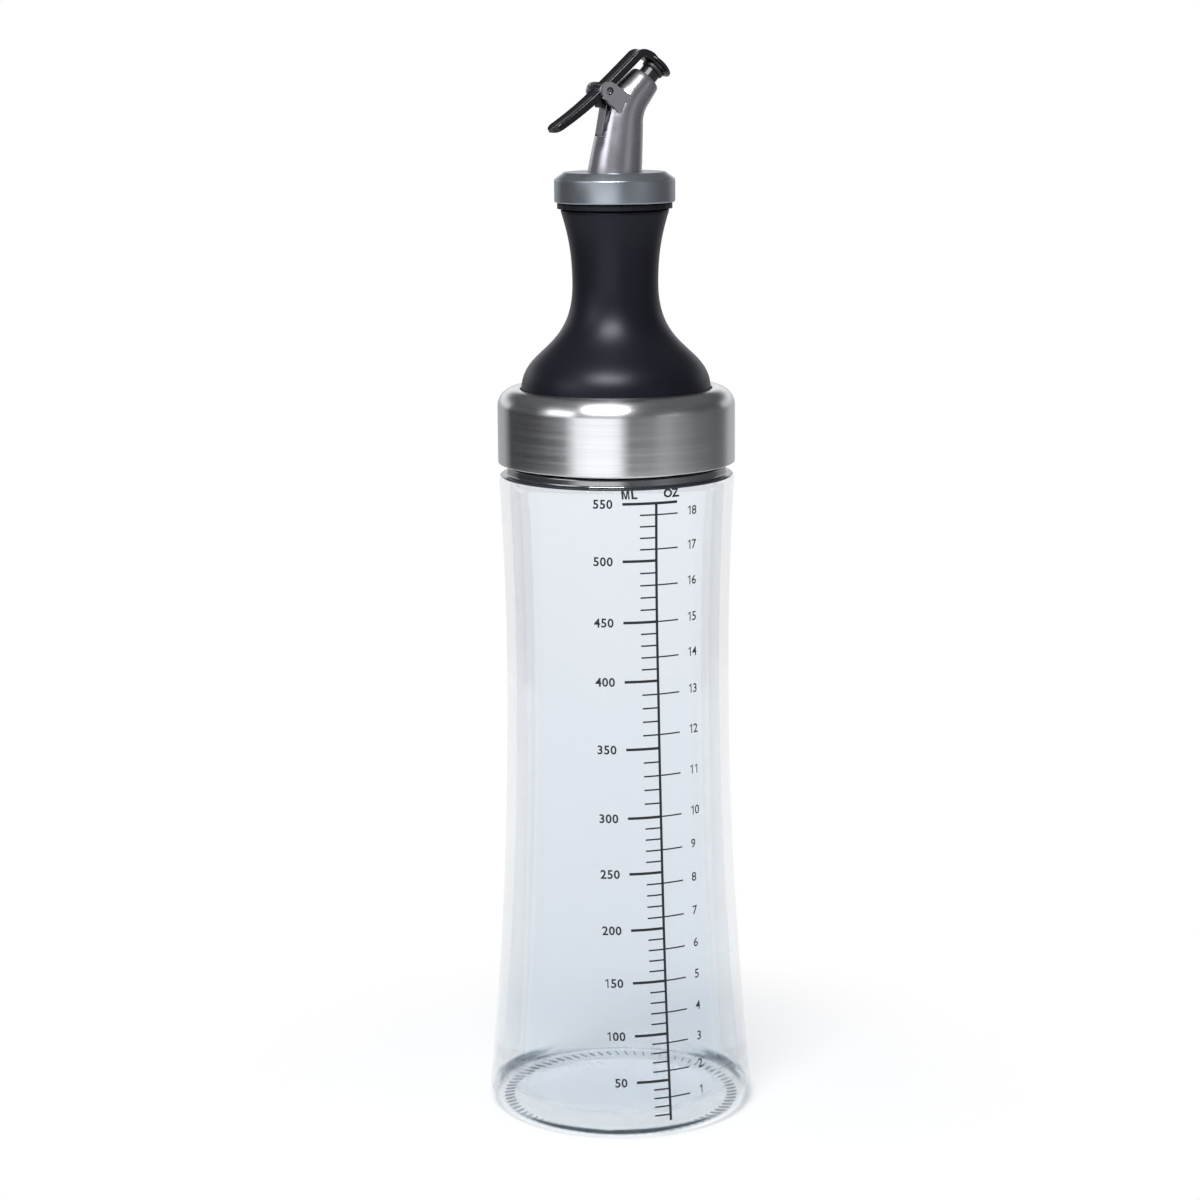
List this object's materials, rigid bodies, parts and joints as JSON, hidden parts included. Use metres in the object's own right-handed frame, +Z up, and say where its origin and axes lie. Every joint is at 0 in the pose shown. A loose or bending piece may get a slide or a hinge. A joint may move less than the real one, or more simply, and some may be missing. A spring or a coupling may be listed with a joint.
{
  "type": "oil infuser bottle",
  "caption": "waisted glass oil bottle with a printed volume scale, a steel-collared screw lid with a soft flask-shaped neck, and a sprung lever pourer whose cap closes a bent spout",
  "frame": {"origin": "centre of the bottle's foot on the surface that it stands on", "axes": "+Z up along the bottle's axis, +X the way the spout pours, Y along the lever's pin"},
  "size_m": [0.0772, 0.0772, 0.3062],
  "materials": {
    "clear_glass": "clear, smooth",
    "strainer_plastic": "fine matte",
    "gasket_silicone": "soft, translucent white",
    "brushed_steel": "brushed round the collar",
    "liner_plastic": "matte",
    "soft_black": "satin, soft to the touch",
    "stopper_silicone": "matte silicone",
    "ring_silver": "satin silver",
    "spout_silver": "satin silver",
    "tube_black": "gloss",
    "vent_plastic": "matte white",
    "pin_steel": "bright",
    "lever_black": "gloss",
    "seal_rubber": "matte",
    "leaf_steel": "satin"
  },
  "bodies": {
    "bottle": {"glass_bottle": "clear_glass"},
    "strainer": {"strainer": "strainer_plastic"},
    "gasket": {"lid_gasket": "gasket_silicone"},
    "lid": {"steel_collar": "brushed_steel", "thread_liner": "liner_plastic", "neck": "soft_black"},
    "pourer": {"stopper": "stopper_silicone", "cap_ring": "ring_silver", "spout_body": "spout_silver", "pour_tube": "tube_black", "vent_tube": "vent_plastic", "lever_pin": "pin_steel"},
    "lever": {"lever": "lever_black", "tip_seal": "seal_rubber"},
    "spring": {"leaf_spring": "leaf_steel"}
  },
  "joints": [
    {"name": "lid_lift", "type": "slide", "parent": "bottle", "child": "strainer", "axis": [0, 0, 1], "range_m": [0, 0.08]},
    {"name": "thread_rise", "type": "slide", "parent": "strainer", "child": "gasket", "axis": [0, 0, 1], "range_m": [0, 0.005]},
    {"name": "lid_turn", "type": "hinge", "parent": "gasket", "child": "lid", "pos_m": [0, 0, 0.2], "axis": [0, 0, 1], "range_deg": [0, 450]},
    {"name": "pourer_pull", "type": "slide", "parent": "lid", "child": "pourer", "axis": [0, 0, 1], "range_m": [0, 0.05]},
    {"name": "lever_press", "type": "hinge", "parent": "pourer", "child": "lever", "pos_m": [-0.00381, 0, 0.2948], "axis": [0, -1, 0], "range_deg": [0, 22], "stiffness_Nm_per_rad": 0.08, "springref_deg": -5.73},
    {"name": "leaf_bend", "type": "hinge", "parent": "pourer", "child": "spring", "pos_m": [-0.00475, 0, 0.2834], "axis": [0, 1, 0], "range_deg": [0, 14]}
  ],
  "couplings": [
    {"joint": "thread_rise", "follows": "lid_turn", "m_per_rad": 0.00063662},
    {"joint": "leaf_bend", "follows": "lever_press", "ratio": 0.575}
  ]
}
